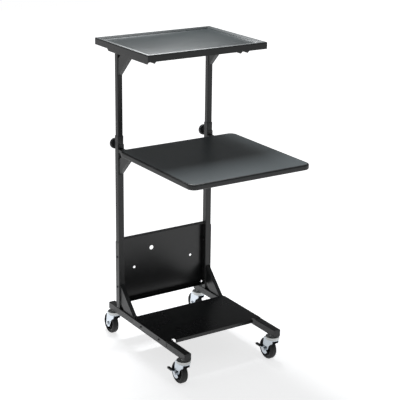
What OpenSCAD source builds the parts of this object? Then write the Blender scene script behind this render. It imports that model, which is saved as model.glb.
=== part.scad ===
// Mobile projector cart with a height-adjustable steel tray, a fixed laptop shelf,
// a bottom shelf and four swivel casters.
// Front is -Y, up is +Z, the floor is Z = 0 and the origin is under the middle of the cart.

/* [Posts] */
// Distance between the centre lines of the two posts
post_spacing = 362; // [320:1:400]
// Outside width of the lower post tube
lower_tube = 22; // [22:0.5:24]
// Wall of the lower post tube
lower_wall = 1; // [0.8:0.1:1.2]
// Height of the lower tube's upper end above the floor
lower_top = 750; // [748:1:800]
// Outside width of the sliding upper post tube
upper_tube = 19; // [18:0.5:19]
// Wall of the upper post tube
upper_wall = 1.2; // [0.8:0.1:2]
// Length of upper tube held inside the lower one
upper_insert = 215; // [150:1:300]
// Outside corner radius of the post tubes
tube_round = 2; // [1.5:0.1:2.5]

/* [Post collars] */
// Height of the collar on top of the lower tube
collar_h = 8; // [5:0.5:14]
// Gap between the glide sleeve inside the lower tube and the clamp screw below it
sleeve_clear = 2; // [1:0.5:6]
// Running clearance around the upper tube
slide_gap = 0.12; // [0.1:0.01:0.2]

/* [Legs] */
// Outside width of the leg tube
leg_tube = 25; // [24:0.5:30]
// Wall of the leg tube
leg_wall = 1.5; // [1:0.1:2]
// Reach of a leg in front of the post centre
leg_front = 450; // [420:1:480]
// Reach of a leg behind the post centre
leg_rear = 64; // [60:1:90]
// Thickness of an end cap outside the tube
cap_t = 3; // [2:0.5:5]
// Depth of an end cap inside the tube
cap_plug = 5.5; // [3:0.5:5.5]

/* [Tray] */
// Height of the tray's lip above the floor
tray_top = 1087; // [1060:1:1120]
// Overhang of the tray beyond each post's centre line
tray_side = 48; // [40:1:80]
// Depth of the tray
tray_d = 350; // [345:1:380]
// Overhang of the tray behind the post centre
tray_rear = 74; // [72:1:90]
// Height of the tray's outer flange
tray_flange = 23; // [18:0.5:30]
// Width of the raised lip's flat top
tray_lip = 9; // [7:0.5:14]
// Run of the sloping wall between the lip and the floor
tray_slope = 5; // [3:0.5:10]
// Depth of the floor below the lip
tray_recess = 7; // [5:0.5:10]
// Sheet thickness of the tray
tray_sheet = 1.2; // [0.8:0.1:1.5]

/* [Tray arms] */
// Outside width of a tray arm
tray_arm_w = 29; // [28:0.5:34]
// Length of a tray arm
tray_arm_len = 306; // [290:1:310]
// Reach of a tray arm behind the post centre
tray_arm_rear = 68; // [60:1:70]
// How far an arm hangs below the tray's flange
tray_arm_drop = 21; // [14:0.5:26]
// Sheet thickness of the arms and gussets
arm_sheet = 1.5; // [1.2:0.1:2]
// Leg of the sloping cut at the ends of an arm
tray_arm_cut = 24; // [16:1:30]
// Reach of the tray gusset along the post, measured from the arm's inner face
tray_gusset = 109; // [90:1:120]

/* [Laptop shelf] */
// Height of the shelf's top face above the floor
shelf_top = 733; // [700:1:735]
// Overhang of the shelf beyond each post's centre line
shelf_side = 50.5; // [40:0.5:80]
// Depth of the shelf
shelf_d = 456; // [400:1:480]
// Thickness of the shelf
shelf_t = 19; // [18:0.5:25]
// Gap between the posts and the shelf's back edge
shelf_gap = 72; // [50:1:90]
// Corner radius of the shelf
shelf_corner = 26; // [20:1:50]
// Width of the moulded edging
edging_w = 6; // [5:0.5:8]
// Rounding of the edging's outer edges
edging_round = 5; // [3:0.5:5]
// Length of a shelf arm in front of the post
shelf_arm_len = 330; // [300:1:440]
// Height of a shelf arm
shelf_arm_h = 12; // [11:0.5:18]
// Height of the upturned tab on the post
shelf_tab_h = 15; // [10:0.5:16]
// Reach of the shelf gusset along the post, measured from the arm's inner face
shelf_gusset = 91; // [70:1:120]

/* [Gussets] */
// Outside width of every gusset
gusset_w = 15; // [13:0.5:17]
// Reach of the base gusset up the post and along the leg
base_gusset = 92; // [70:1:120]
// Radius of the base gusset's rounded inner corner
base_gusset_round = 45; // [30:1:50]

/* [Back panel] */
// Height of the panel's lower edge above the floor
panel_bottom = 142; // [135:1:200]
// Height of the panel's sheet
panel_h = 241; // [220:1:300]
// Sheet thickness of the panel and the bottom shelf
panel_sheet = 1.2; // [1:0.1:1.5]
// Step of the side flanges below the panel's upper edge
panel_step = 10; // [5:1:20]
// Diameter of the cable hole
cable_hole_d = 16; // [10:0.5:30]
// Distance of the cable hole from the middle, to the left
cable_hole_x = 47; // [0:1:90]
// Height of the cable hole above the panel's lower edge
cable_hole_z = 180; // [140:1:190]
// Diameter of the two fixing holes
fix_hole_d = 9.5; // [5:0.5:12]
// Spacing of the two fixing holes
fix_hole_spacing = 236; // [200:1:280]
// Height of the fixing holes above the panel's lower edge
fix_hole_z = 119; // [90:1:130]
// Height of the lower bolts above the panel's lower edge
panel_bolt_z = 62; // [40:1:80]
// Spacing of the lower and upper bolts
panel_bolt_spacing = 113; // [90:1:140]

/* [Bottom shelf] */
// Depth of the bottom shelf
low_shelf_d = 235; // [210:1:260]
// Gap between the posts' centre and the shelf's back edge
low_shelf_gap = 102; // [94:1:130]
// Height of the bottom shelf's front and rear flanges
low_flange = 12; // [8:0.5:20]
// Height of the bottom shelf's side flanges
low_side_flange = 20; // [16:0.5:26]
// Width of the front relief notches beside the legs
low_notch_w = 10.5; // [6:0.5:16]
// Depth of the front relief notches
low_notch_d = 13; // [8:0.5:20]
// Distance of the rear side screw from the shelf's back edge
low_screw_rear = 64; // [40:1:80]
// Spacing of the two side screws
low_screw_spacing = 120; // [80:1:140]

/* [Clamp knobs] */
// Diameter of a clamp knob
knob_d = 38; // [30:1:44]
// Thickness of a clamp knob
knob_t = 15; // [12:0.5:20]
// Height of the knobs below the lower tube's upper end
knob_drop = 26; // [22:1:40]
// Diameter of the clamp screw
screw_d = 8; // [6:0.5:8]
// Length of the weld nut
weld_nut_t = 8; // [6:0.5:10]

/* [Casters] */
// Height of a caster from the floor to the leg
caster_h = 98.5; // [97:0.5:104]
// Wheel diameter
wheel_d = 76; // [72:1:77]
// Tread width
wheel_w = 22; // [18:0.5:23]
// Trail of the axle behind the swivel
trail = 23.5; // [18:0.5:28]
// Distance of the front stems behind the leg's front end
stem_front = 26; // [24:1:40]
// Distance of the rear stems ahead of the leg's rear end
stem_rear = 17; // [16.5:0.5:30]
// Diameter of the raceway
race_d = 48; // [44:1:50]
// Thickness of the fork's sheet
fork_t = 2; // [1.5:0.1:2.5]
// Clear width between the fork's sides
fork_gap = 25; // [24.5:0.5:27]
// Axle bolt diameter
axle_d = 8; // [6:0.5:8]

/* [Brakes] */
// Reach of a brake lever behind the axle
lever_reach = 46; // [40:1:60]
// Height of the lever's tab above the axle
lever_rise = 4; // [2:0.5:8]
// Thickness of the lever's sheet
lever_t = 2; // [1.5:0.1:2.5]
// Radius of the lever's rounded plate around the axle
lever_plate_r = 18; // [15:0.5:22]
// Width of the moulded pedal cover
pedal_w = 10; // [8:0.5:14]

/* [Hidden] */
$fn = 48;
// Overrun of every cut past the face that it leaves
over = 1;
// Gap between two parts that only lie beside each other
fit_gap = 0.3;
// Radial clearance of a part that turns on or in another
run_gap = 0.1;
// Inner radius of a bend in sheet metal
bend_in = 0.8;

// Places that follow from the driving dimensions
post_x = post_spacing / 2;
leg_top = caster_h + leg_tube;
front_reach = lower_tube / 2 + shelf_gap + shelf_d;
rear_reach = leg_rear - stem_rear + trail + wheel_d / 2;
post_y = (front_reach - rear_reach) / 2;
post_front = post_y - lower_tube / 2;
post_back = post_y + lower_tube / 2;
lower_in = lower_tube - 2 * lower_wall;
upper_in = upper_tube - 2 * upper_wall;
slide_bore = upper_tube + 2 * slide_gap;
leg_in = leg_tube - 2 * leg_wall;
leg_y0 = post_y - leg_front;
leg_y1 = post_y + leg_rear;
stem_y_front = leg_y0 + stem_front;
stem_y_rear = leg_y1 - stem_rear;

// Tray and its arms
tray_w = post_spacing + 2 * tray_side;
tray_y1 = post_y + tray_rear;
tray_floor = tray_top - tray_recess;
tray_under = tray_floor - tray_sheet;
tray_arm_bottom = tray_top - tray_flange - tray_arm_drop;
tray_arm_h = tray_under - tray_arm_bottom;
tray_arm_y1 = post_y + tray_arm_rear;
tray_arm_y0 = tray_arm_y1 - tray_arm_len;
tray_arm_seat = tray_under - arm_sheet;
upper_bottom = lower_top - upper_insert;
tray_nut_inset = 45;

// Laptop shelf and its arms
shelf_w = post_spacing + 2 * shelf_side;
shelf_under = shelf_top - shelf_t;
shelf_y1 = post_front - shelf_gap;
shelf_mid_y = shelf_y1 - shelf_d / 2;
shelf_arm_bottom = shelf_under - shelf_arm_h;
shelf_arm_seat = shelf_under - arm_sheet;
shelf_arm_cut = 7;
groove_t = 2.4;
groove_depth = 9;
shelf_screw_d = 4;
shelf_screw_len = 15;
shelf_screw_first = 110;
shelf_screw_end = 30;
shelf_screw_step = (shelf_arm_len - shelf_screw_first - shelf_screw_end) / 2;

// Notches of the gussets beside the post, measured along the slope's legs
tray_notch = [35, 37, 51];
tray_notch_depth = 17;
shelf_notch = [10, 21, 36];
shelf_notch_depth = 20;

// Back panel and bottom shelf
panel_outer = post_x + lower_tube / 2 + panel_sheet;
panel_inner = post_x - lower_tube / 2 - fit_gap;
low_outer = post_x + leg_tube / 2 + panel_sheet;
low_inner = post_x - leg_tube / 2 - fit_gap;
low_y1 = post_y - low_shelf_gap;
low_y0 = low_y1 - low_shelf_d;
low_corner_cut = 12;
low_notch_round = 4;
panel_relief_d = 7;
panel_relief_z = 4;
low_screw_z = leg_top - 10;
bolt_d = 5;
bolt_head_d = 9.5;
bolt_head_t = 2.8;
nut_w = 8;
nut_t = 4;
nut_land = 1;
small_screw_d = 4;

// Clamp parts
knob_z = lower_top - knob_drop;
sleeve_len = knob_drop - screw_d / 2 - sleeve_clear;
pad_d = 6.5;
pad_t = 2.5;
pad_y0 = post_y + upper_tube / 2 + run_gap;
weld_nut_w = 13;
knob_hub_gap = 2;
knob_y0 = post_back + weld_nut_t + knob_hub_gap;
knob_flutes = 12;
knob_flute_d = 7;
knob_flute_depth = 1.1;
knob_boss_d = 20;
knob_boss_t = 3;
stud_in_knob = 10;

// Caster parts, measured from the floor under the swivel axis
wheel_r = wheel_d / 2;
stem_d = 10;
stem_len = leg_tube - 6;
shoulder_w = 19;
cup_t = 2;
cup_rim = 6.5;
crown_t = 2.5;
crown_clear = 4;
crown_z = wheel_d + crown_clear;
ball_d = 5;
ball_ring_r = race_d / 2 - 6;
ball_count = 12;
race_h = 2.2;
race_w = 6;
ball_z = crown_z + crown_t + race_h + (fit_gap + ball_d) / 2;
cup_z = ball_z + (ball_d + fit_gap) / 2;
shoulder_t = caster_h - cup_z - cup_t;
king_d = 9;
king_head_d = 16;
king_head_t = 2.2;
sleeve_d = 11;
hub_d = 26;
hub_w = fork_gap - 1;
rim_d = 56;
rim_w = wheel_w - 3;
wheel_web = 6;
tread_round = 6;
fork_w = fork_gap + 2 * fork_t;
fork_front = 17;
fork_back = 29;
fork_brim = 9;
fork_eye_r = 13.5;
fork_sweep = 38;
fork_sweep_drop = 4.5;
axle_head_w = 12;
axle_head_t = 4.5;
washer_gap = 0.4;
lever_hub_r = 9;
lever_tab_w = 7.5;
pedal_t = 4.5;
pedal_wall = 1.2;
pedal_y0 = 18;
lever_x = fork_w / 2 + washer_gap;
brake_step = lever_t + 2 * washer_gap;

// A square with rounded corners, centred
module rounded_square(size, r) {
    square([size - 2 * r, size], center = true);
    square([size, size - 2 * r], center = true);
    for (sx = [-1, 1], sy = [-1, 1])
        translate([sx * (size / 2 - r), sy * (size / 2 - r)])
            circle(r = r);
}

// A rectangle with rounded corners, centred
module rounded_rect(w, d, r) {
    square([w - 2 * r, d], center = true);
    square([w, d - 2 * r], center = true);
    for (sx = [-1, 1], sy = [-1, 1])
        translate([sx * (w / 2 - r), sy * (d / 2 - r)])
            circle(r = r, $fn = 64);
}

// Section of a square tube
module tube_section(size, wall, r) {
    difference() {
        rounded_square(size, r);
        rounded_square(size - 2 * wall, max(r - wall, wall / 4));
    }
}

// Quarter ring of bent sheet around the origin, in the first quadrant
module bend_ring(r, t) {
    intersection() {
        difference() {
            circle(r = r + t);
            circle(r = r);
        }
        square(r + t);
    }
}

// Section of a channel that opens downwards, with the outside of its web at Y = 0
module channel_section(w, h, t) {
    r = bend_in;
    translate([-w / 2 + r + t, -t])
        square([w - 2 * (r + t), t]);
    for (s = [0, 1])
        mirror([s, 0]) {
            translate([w / 2 - t, -h])
                square([t, h - r - t]);
            translate([w / 2 - r - t, -r - t])
                bend_ring(r, t);
        }
}

// Lays a 2D shape drawn in (Y, Z) out as a plate across X, centred on X = 0
module across(w) {
    rotate([90, 0, 90])
        linear_extrude(w, center = true)
            children();
}

// Draws its children once on each side of the cart
module both_sides() {
    for (s = [-1, 1])
        translate([s * post_x, 0, 0])
            children();
}

// Leg tube with its stem holes and the pilot holes of the bottom shelf's screws
module leg(side) {
    difference() {
        translate([side * post_x, leg_y0 + cap_t, caster_h + leg_tube / 2])
            rotate([-90, 0, 0])
                linear_extrude(leg_front + leg_rear - 2 * cap_t)
                    tube_section(leg_tube, leg_wall, tube_round);
        for (y = [stem_y_front, stem_y_rear])
            translate([side * post_x, y, caster_h - over])
                cylinder(d = stem_d + 2 * run_gap, h = leg_wall + 2 * over);
        for (k = [0, 1])
            translate([side * (post_x + leg_tube / 2 - leg_wall - over),
                       low_y1 - low_screw_rear - k * low_screw_spacing, low_screw_z])
                rotate([0, side * 90, 0])
                    cylinder(d = small_screw_d, h = leg_wall + 2 * over);
    }
}

// One end cap with its plug, facing -Y, outside face at Y = 0
module end_cap() {
    plug = leg_in - 2 * fit_gap;
    rotate([-90, 0, 0]) {
        linear_extrude(cap_t)
            rounded_square(leg_tube, tube_round);
        translate([0, 0, cap_t])
            linear_extrude(cap_plug)
                difference() {
                    rounded_square(plug, tube_round / 2);
                    rounded_square(plug - 2 * cap_t, tube_round / 2);
                }
    }
}

module leg_end_caps() {
    color("#1c1d1e")
        both_sides() {
            translate([0, leg_y0, caster_h + leg_tube / 2])
                end_cap();
            translate([0, leg_y1, caster_h + leg_tube / 2])
                mirror([0, 1, 0])
                    end_cap();
        }
}

// Lower post with the clamp hole and the panel's bolt holes
module lower_post(side) {
    difference() {
        translate([side * post_x, post_y, leg_top])
            linear_extrude(lower_top - leg_top)
                tube_section(lower_tube, lower_wall, tube_round);
        translate([side * post_x, post_back - lower_wall - over, knob_z])
            rotate([-90, 0, 0])
                cylinder(d = screw_d + 2 * run_gap, h = lower_wall + 2 * over);
        for (k = [0, 1])
            translate([side * post_x, post_y, panel_bottom + panel_bolt_z + k * panel_bolt_spacing])
                rotate([0, 90, 0])
                    cylinder(d = bolt_d + 2 * run_gap, h = lower_tube + 2 * over, center = true);
    }
}

// Collar on the lower tube's end with a thin glide sleeve inside the tube
module post_collar(side) {
    skin = (lower_in - slide_bore) / 2 - run_gap / 2;
    sleeve = slide_bore + 2 * skin;
    translate([side * post_x, post_y, lower_top]) {
        linear_extrude(collar_h)
            difference() {
                rounded_square(lower_tube + fit_gap, tube_round);
                square(slide_bore, center = true);
            }
        translate([0, 0, -sleeve_len])
            linear_extrude(sleeve_len)
                difference() {
                    rounded_square(sleeve, tube_round / 2);
                    square(slide_bore, center = true);
                }
    }
}

// Outline of a gusset's side in (forward, down), with a notch beside the post
module gusset_side(reach, notch, depth) {
    polygon([
        [0, 0], [reach, 0], [0, reach],
        [0, notch[2]], [depth, notch[1]], [0, notch[0]]
    ]);
}

// Band along the slope of a gusset, as thick as the sheet
module gusset_slope(reach) {
    t = arm_sheet * sqrt(2);
    polygon([[reach, 0], [reach - t, 0], [0, reach - t], [0, reach]]);
}

// Folded gusset that hangs from a seat at Z = 0, with the post behind it at Y = 0
module hanging_gusset(reach, notch, depth) {
    rotate([180, 0, 0]) {
        for (s = [-1, 1])
            translate([s * (gusset_w - arm_sheet) / 2, 0, 0])
                across(arm_sheet)
                    gusset_side(reach, notch, depth);
        across(gusset_w)
            gusset_slope(reach);
    }
}

// Folded base gusset that stands on the leg, with a rounded inner corner
module base_gusset(side) {
    r = base_gusset_round;
    translate([side * post_x, post_front, leg_top])
        mirror([0, 1, 0]) {
            for (s = [-1, 1])
                translate([s * (gusset_w - arm_sheet) / 2, 0, 0])
                    across(arm_sheet)
                        difference() {
                            polygon([[0, 0], [base_gusset, 0], [0, base_gusset]]);
                            difference() {
                                square(r);
                                translate([r, r])
                                    circle(r = r, $fn = 96);
                            }
                        }
            across(gusset_w)
                gusset_slope(base_gusset);
        }
}

// Folded back panel: sheet behind the posts, flanges around them and between them
module back_panel() {
    t = panel_sheet;
    r = bend_in;
    flange = lower_tube;
    y1 = post_back + t;
    side_h = panel_h - panel_step;
    color("#2b2d2e")
        difference() {
            union() {
                translate([0, y1 - t / 2, panel_bottom + panel_h / 2])
                    cube([2 * panel_inner, t, panel_h - 2 * (r + t)], center = true);
                for (s = [-1, 1])
                    translate([s * (panel_inner + panel_outer - r - t) / 2, y1 - t / 2,
                               panel_bottom + side_h / 2])
                        cube([panel_outer - r - t - panel_inner, t, side_h], center = true);
                for (s = [0, 1])
                    mirror([s, 0, 0]) {
                        translate([panel_outer - t, post_back + t - r - t - flange, panel_bottom])
                            cube([t, flange, side_h]);
                        translate([panel_outer - r - t, y1 - r - t, panel_bottom])
                            linear_extrude(side_h)
                                bend_ring(r, t);
                    }
                translate([0, 0, panel_bottom])
                    across(2 * panel_inner)
                        union() {
                            translate([post_front, 0])
                                square([lower_tube - r, t]);
                            translate([y1 - r - t, r + t])
                                mirror([0, 1])
                                    bend_ring(r, t);
                            translate([post_front, panel_h - t])
                                square([lower_tube - r, t]);
                            translate([y1 - r - t, panel_h - r - t])
                                bend_ring(r, t);
                        }
            }
            translate([-cable_hole_x, post_back - over, panel_bottom + cable_hole_z])
                rotate([-90, 0, 0])
                    cylinder(d = cable_hole_d, h = t + 2 * over);
            for (s = [-1, 1])
                translate([s * fix_hole_spacing / 2, post_back - over, panel_bottom + fix_hole_z])
                    rotate([-90, 0, 0])
                        cylinder(d = fix_hole_d, h = t + 2 * over);
            for (s = [-1, 1])
                translate([s * panel_inner, y1 + over, panel_bottom + panel_relief_z])
                    rotate([90, 0, 0])
                        cylinder(d = panel_relief_d, h = r + t + 2 * over);
            for (s = [-1, 1], k = [0, 1])
                translate([s * (panel_outer - t - over), post_y,
                           panel_bottom + panel_bolt_z + k * panel_bolt_spacing])
                    rotate([0, s * 90, 0])
                        cylinder(d = bolt_d + 2 * run_gap, h = t + 2 * over);
        }
}

// Button head bolt along +X from its head's seat
module button_bolt(length) {
    rotate([0, 90, 0])
        cylinder(d = bolt_d, h = length);
    rotate([0, -90, 0])
        cylinder(d1 = bolt_head_d, d2 = bolt_head_d / 2, h = bolt_head_t);
}

module panel_bolts() {
    color("#1d1e1f")
        for (s = [0, 1], k = [0, 1])
            mirror([s, 0, 0])
                translate([-panel_outer, post_y,
                           panel_bottom + panel_bolt_z + k * panel_bolt_spacing])
                    button_bolt(lower_tube + panel_sheet + nut_t + nut_land);
}

module panel_nuts() {
    color("#2a2b2c")
        for (s = [0, 1], k = [0, 1])
            mirror([s, 0, 0])
                translate([-post_x + lower_tube / 2, post_y,
                           panel_bottom + panel_bolt_z + k * panel_bolt_spacing])
                    rotate([0, 90, 0])
                        difference() {
                            cylinder(d = nut_w / cos(30), h = nut_t, $fn = 6);
                            translate([0, 0, -over])
                                cylinder(d = bolt_d + 2 * run_gap, h = nut_t + 2 * over);
                        }
}

// Relief notch with rounded rear corners, from the front edge back, its left side at X = 0
module relief_notch() {
    w = low_notch_w;
    d = low_notch_d;
    r = low_notch_round;
    translate([0, -over])
        square([w, d - r + over]);
    translate([r, 0])
        square([w - 2 * r, d]);
    for (x = [r, w - r])
        translate([x, d - r])
            circle(r = r);
}

// Folded bottom shelf that lies on the legs, flanges outside and between them
module bottom_shelf() {
    t = panel_sheet;
    r = bend_in;
    color("#1f2122")
        difference() {
            union() {
                translate([0, (low_y0 + low_y1) / 2, leg_top + t / 2])
                    cube([2 * (low_outer - r - t), low_shelf_d, t], center = true);
                for (s = [0, 1])
                    mirror([s, 0, 0]) {
                        translate([low_outer - t, low_y0, leg_top + t - low_side_flange])
                            cube([t, low_shelf_d, low_side_flange - r - t]);
                        translate([low_outer - r - t, low_y1, leg_top - r])
                            rotate([90, 0, 0])
                                linear_extrude(low_shelf_d)
                                    bend_ring(r, t);
                    }
                for (y = [low_y0, low_y1 - t])
                    translate([-low_inner, y, leg_top + t - low_flange])
                        cube([2 * low_inner, t, low_flange - t / 2]);
            }
            for (s = [0, 1])
                mirror([s, 0, 0]) {
                    translate([low_outer, low_y1, leg_top])
                        rotate([0, 0, 45])
                            cube([low_corner_cut, low_corner_cut, low_side_flange * 3], center = true);
                    translate([low_outer, low_y0, leg_top])
                        rotate([0, 0, 45])
                            cube([low_corner_cut / 2, low_corner_cut / 2, low_side_flange * 3], center = true);
                    translate([low_inner + fit_gap - low_notch_w, low_y0, leg_top + t - low_flange - over])
                        linear_extrude(low_flange + 2 * over)
                            relief_notch();
                    for (k = [0, 1])
                        translate([low_outer - t - over, low_y1 - low_screw_rear - k * low_screw_spacing,
                                   low_screw_z])
                            rotate([0, 90, 0])
                                cylinder(d = small_screw_d + 2 * run_gap, h = t + 2 * over);
                }
        }
}

module bottom_shelf_screws() {
    color("#1d1e1f")
        for (s = [0, 1], k = [0, 1])
            mirror([s, 0, 0])
                translate([-low_outer, low_y1 - low_screw_rear - k * low_screw_spacing, low_screw_z]) {
                    rotate([0, 90, 0])
                        cylinder(d = small_screw_d, h = panel_sheet + leg_wall + nut_t);
                    rotate([0, -90, 0])
                        cylinder(d1 = bolt_head_d, d2 = bolt_head_d / 2, h = bolt_head_t);
                }
}

// Laminated board with a groove around its edge for the edging's barb
module laptop_shelf() {
    w = shelf_w - 2 * (edging_w + run_gap);
    d = shelf_d - 2 * (edging_w + run_gap);
    r = shelf_corner - edging_w - run_gap;
    color("#35393a")
        difference() {
            translate([0, shelf_mid_y, shelf_under])
                linear_extrude(shelf_t)
                    rounded_rect(w, d, r);
            translate([0, shelf_mid_y, shelf_under + (shelf_t - groove_t) / 2])
                linear_extrude(groove_t)
                    difference() {
                        square([w + over, d + over], center = true);
                        rounded_rect(w - 2 * groove_depth, d - 2 * groove_depth, r - groove_depth);
                    }
            both_sides()
                for (k = [0, 1, 2])
                    translate([0, post_front - shelf_screw_first - k * shelf_screw_step, shelf_under - over])
                        cylinder(d = shelf_screw_d, h = shelf_screw_len - arm_sheet + over);
        }
}

// Section of the edging, with its inner face at X = 0 and its barb towards -X
module edging_section() {
    h = shelf_t;
    r = edging_round;
    square([edging_w - r, h]);
    translate([0, r])
        square([edging_w, h - 2 * r]);
    intersection() {
        square([edging_w, h]);
        for (y = [r, h - r])
            translate([edging_w - r, y])
                circle(r = r);
    }
    translate([-groove_depth + fit_gap, (h - groove_t) / 2 + fit_gap / 2])
        square([groove_depth, groove_t - fit_gap]);
}

// Edging: four straight runs and four turned corners
module shelf_edging() {
    w = shelf_w - 2 * shelf_corner;
    d = shelf_d - 2 * shelf_corner;
    r = shelf_corner - edging_w;
    color("#161718")
        translate([0, shelf_mid_y, shelf_under]) {
            for (s = [0, 1]) {
                mirror([s, 0, 0])
                    translate([w / 2 + r, d / 2, 0])
                        rotate([90, 0, 0])
                            linear_extrude(d)
                                edging_section();
                mirror([0, s, 0])
                    translate([-w / 2, d / 2 + r, 0])
                        rotate([90, 0, 90])
                            linear_extrude(w)
                                edging_section();
            }
            for (sx = [0, 1], sy = [0, 1])
                mirror([sx, 0, 0])
                    mirror([0, sy, 0])
                        translate([w / 2, d / 2, 0])
                            rotate_extrude(angle = 90, $fn = 64)
                                translate([r, 0])
                                    edging_section();
        }
}

// Channel arm under the laptop shelf with its tab turned up against the post
module shelf_arm(side) {
    t = arm_sheet;
    r = bend_in;
    difference() {
        translate([side * post_x, post_front, shelf_under]) {
            translate([0, -t - r, 0])
                rotate([90, 0, 0])
                    linear_extrude(shelf_arm_len - t - r)
                        channel_section(lower_tube, shelf_arm_h, t);
            for (s = [-1, 1])
                translate([s * (lower_tube - t) / 2, -(t + r) / 2, -t - r - (shelf_arm_h - t - r) / 2])
                    cube([t, t + r, shelf_arm_h - t - r], center = true);
            across(lower_tube)
                translate([-t - r, r])
                    mirror([0, 1])
                        bend_ring(r, t);
            translate([0, -t / 2, r + (shelf_tab_h - r) / 2])
                cube([lower_tube, t, shelf_tab_h - r], center = true);
        }
        translate([side * post_x, post_front - shelf_arm_len, shelf_arm_bottom])
            rotate([45, 0, 0])
                cube([lower_tube + over, shelf_arm_cut * sqrt(2), shelf_arm_cut * sqrt(2)], center = true);
        for (k = [0, 1, 2])
            translate([side * post_x, post_front - shelf_screw_first - k * shelf_screw_step,
                       shelf_under - t - over])
                cylinder(d = shelf_screw_d + 2 * run_gap, h = t + 2 * over);
    }
}

module shelf_screws() {
    color("#3a3b3c")
        both_sides()
            for (k = [0, 1, 2])
                translate([0, post_front - shelf_screw_first - k * shelf_screw_step, shelf_under - arm_sheet]) {
                    cylinder(d = shelf_screw_d, h = shelf_screw_len);
                    mirror([0, 0, 1])
                        cylinder(d1 = 2 * shelf_screw_d, d2 = shelf_screw_d, h = shelf_screw_d / 2);
                }
}

// Hexagonal weld nuts of the clamps, on the backs of the lower posts
module knob_nuts() {
    color("#232425")
        both_sides()
            translate([0, post_back, knob_z])
                rotate([-90, 0, 0])
                    difference() {
                        cylinder(d = weld_nut_w / cos(30), h = weld_nut_t, $fn = 6);
                        translate([0, 0, -over])
                            cylinder(d = screw_d + 2 * run_gap, h = weld_nut_t + 2 * over);
                    }
}

// Hexagonal weld nuts inside the legs that hold the caster stems
module stem_nuts() {
    color("#8d9092")
        both_sides()
            for (y = [stem_y_front, stem_y_rear])
                translate([0, y, caster_h + leg_wall])
                    difference() {
                        cylinder(d = 1.5 * stem_d / cos(30), h = 0.8 * stem_d, $fn = 6);
                        translate([0, 0, -over])
                            cylinder(d = stem_d + 2 * run_gap, h = stem_d + 2 * over);
                    }
}

// Stem, hexagonal shoulder, upper race cup and king pin in one piece
module caster_stem() {
    z0 = crown_z - fit_gap - king_head_t;
    cylinder(d = stem_d, h = stem_len);
    translate([0, 0, -shoulder_t])
        cylinder(d = shoulder_w / cos(30), h = shoulder_t, $fn = 6);
    translate([0, 0, cup_z - caster_h])
        cylinder(d = race_d, h = cup_t);
    translate([0, 0, cup_z - cup_rim - caster_h])
        difference() {
            cylinder(d = race_d, h = cup_rim);
            translate([0, 0, -over])
                cylinder(d = race_d - 2 * cup_t, h = cup_rim + 2 * over);
        }
    translate([0, 0, z0 - caster_h])
        cylinder(d = king_d, h = cup_z - z0);
    translate([0, 0, z0 - caster_h])
        cylinder(d1 = king_d + king_head_t, d2 = king_head_d, h = king_head_t);
}

module caster_stems() {
    color("#7b8081")
        both_sides()
            for (y = [stem_y_front, stem_y_rear])
                translate([0, y, caster_h])
                    caster_stem();
}

// Upper post tube, from inside the lower post to the web of the tray arm
module upper_post(side) {
    translate([side * post_x, post_y, upper_bottom])
        linear_extrude(tray_arm_seat - upper_bottom)
            tube_section(upper_tube, upper_wall, tube_round);
}

// Plastic glides in the lower ends of the upper posts
module glide_plugs() {
    color("#101112")
        both_sides()
            translate([0, post_y, upper_bottom]) {
                translate([0, 0, -cap_t])
                    linear_extrude(cap_t)
                        rounded_square(lower_in - 2 * slide_gap, tube_round / 2);
                linear_extrude(upper_tube)
                    difference() {
                        rounded_square(upper_in - 2 * run_gap, tube_round / 2);
                        rounded_square(upper_in / 2, tube_round / 2);
                    }
            }
}

// Channel arm under the tray, its lower corners cut off at both ends
module tray_arm(side) {
    cut = tray_arm_cut * sqrt(2);
    difference() {
        translate([side * post_x, tray_arm_y1, tray_under])
            rotate([90, 0, 0])
                linear_extrude(tray_arm_len)
                    channel_section(tray_arm_w, tray_arm_h, arm_sheet);
        for (y = [tray_arm_y0, tray_arm_y1])
            translate([side * post_x, y, tray_arm_bottom])
                rotate([45, 0, 0])
                    cube([tray_arm_w + over, cut, cut], center = true);
        for (y = [tray_arm_y0 + tray_nut_inset, tray_arm_y1 - tray_nut_inset / 2])
            translate([side * post_x, y, tray_under - arm_sheet - over])
                cylinder(d = bolt_d + 2 * run_gap, h = arm_sheet + 2 * over);
    }
}

// Section of the tray's rim: floor edge, sloping wall, lip and outer flange.
// X = 0 is the outer face and Y = 0 the lip's top, the floor runs towards -X.
module rim_section() {
    t = tray_sheet;
    r = bend_in;
    foot = tray_lip + tray_slope;
    translate([-t, -tray_flange])
        square([t, tray_flange - r - t]);
    translate([-r - t, -r - t])
        bend_ring(r, t);
    translate([-tray_lip, -t])
        square([tray_lip - r - t, t]);
    polygon([
        [-tray_lip, 0], [-tray_lip, -t], [-foot, -tray_recess - t], [-foot - t, -tray_recess - t],
        [-foot - t, -tray_recess], [-foot, -tray_recess]
    ]);
}

// Rim along one side of the tray, mitred at both ends
module rim_run(length, width) {
    intersection() {
        rotate([90, 0, 0])
            linear_extrude(length, center = true)
                translate([width / 2, 0])
                    rim_section();
        translate([0, 0, -tray_flange - over])
            linear_extrude(tray_flange + 2 * over)
                polygon([
                    [width / 2 - length / 2, 0], [width / 2, -length / 2], [width / 2, length / 2]
                ]);
    }
}

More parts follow.
